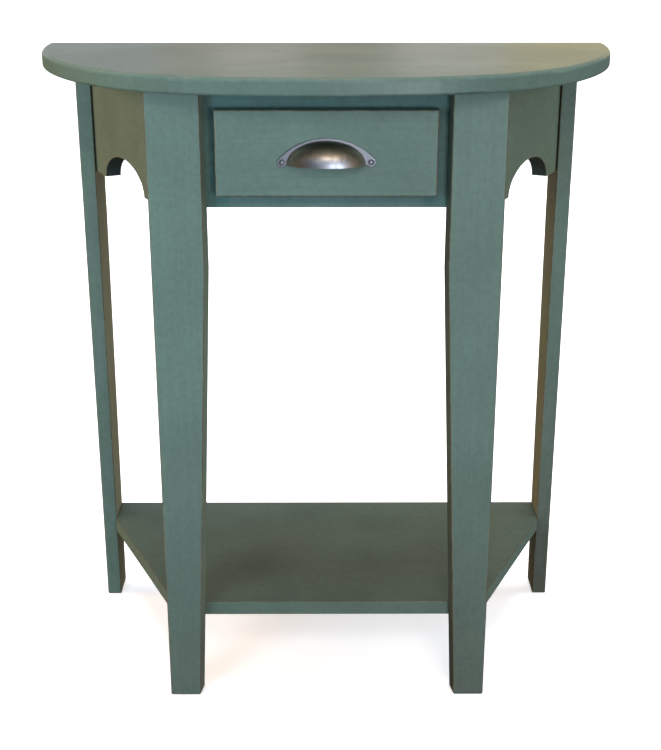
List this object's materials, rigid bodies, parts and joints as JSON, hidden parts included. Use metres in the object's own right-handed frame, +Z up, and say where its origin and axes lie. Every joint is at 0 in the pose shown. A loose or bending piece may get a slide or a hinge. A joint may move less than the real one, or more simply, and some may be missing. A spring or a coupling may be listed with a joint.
{
  "type": "demilune table",
  "caption": "Painted half-moon hall table with tapered board legs, arched side aprons, a low shelf and an overlay drawer with a cup pull.",
  "frame": {"origin": "on the floor under the middle of the table's box", "axes": "+X to the right seen from the front, +Y towards the wall, +Z up"},
  "size_m": [0.711, 0.381, 0.762],
  "materials": {
    "sage_paint": "satin sage-green paint on pine, rubbed through along the edges",
    "bare_pine": "planed, unfinished",
    "pewter": "antiqued satin nickel",
    "screw_steel": "zinc plated"
  },
  "bodies": {
    "table": {"tabletop": "sage_paint", "leg_front_right": "sage_paint", "leg_front_left": "sage_paint", "leg_back_right": "sage_paint", "leg_back_left": "sage_paint", "side_apron_right": "sage_paint", "side_apron_left": "sage_paint", "back_apron": "sage_paint", "front_rail_top": "sage_paint", "front_rail_bottom": "sage_paint", "front_stile_right": "sage_paint", "front_stile_left": "sage_paint", "shelf": "sage_paint", "drawer_runner_right": "bare_pine", "drawer_runner_left": "bare_pine", "drawer_guide_right": "bare_pine", "drawer_guide_left": "bare_pine", "drawer_kicker": "bare_pine", "corner_block_front_right": "bare_pine", "corner_block_front_left": "bare_pine", "corner_block_back_right": "bare_pine", "corner_block_back_left": "bare_pine", "shelf_dowels": "bare_pine", "back_apron_dowels": "bare_pine", "runner_dowels": "bare_pine", "front_leg_screws": "screw_steel", "tabletop_screws": "screw_steel"},
    "drawer": {"drawer_front": "sage_paint", "drawer_box_front": "bare_pine", "drawer_side_right": "bare_pine", "drawer_side_left": "bare_pine", "drawer_back": "bare_pine", "drawer_bottom": "bare_pine", "drawer_box_dowels": "bare_pine", "drawer_front_screws": "screw_steel", "cup_pull": "pewter", "cup_pull_screws": "pewter"}
  },
  "joints": [
    {"name": "drawer_slide", "type": "slide", "parent": "table", "child": "drawer", "axis": [0, -1, 0], "range_m": [0, 0.17]}
  ]
}
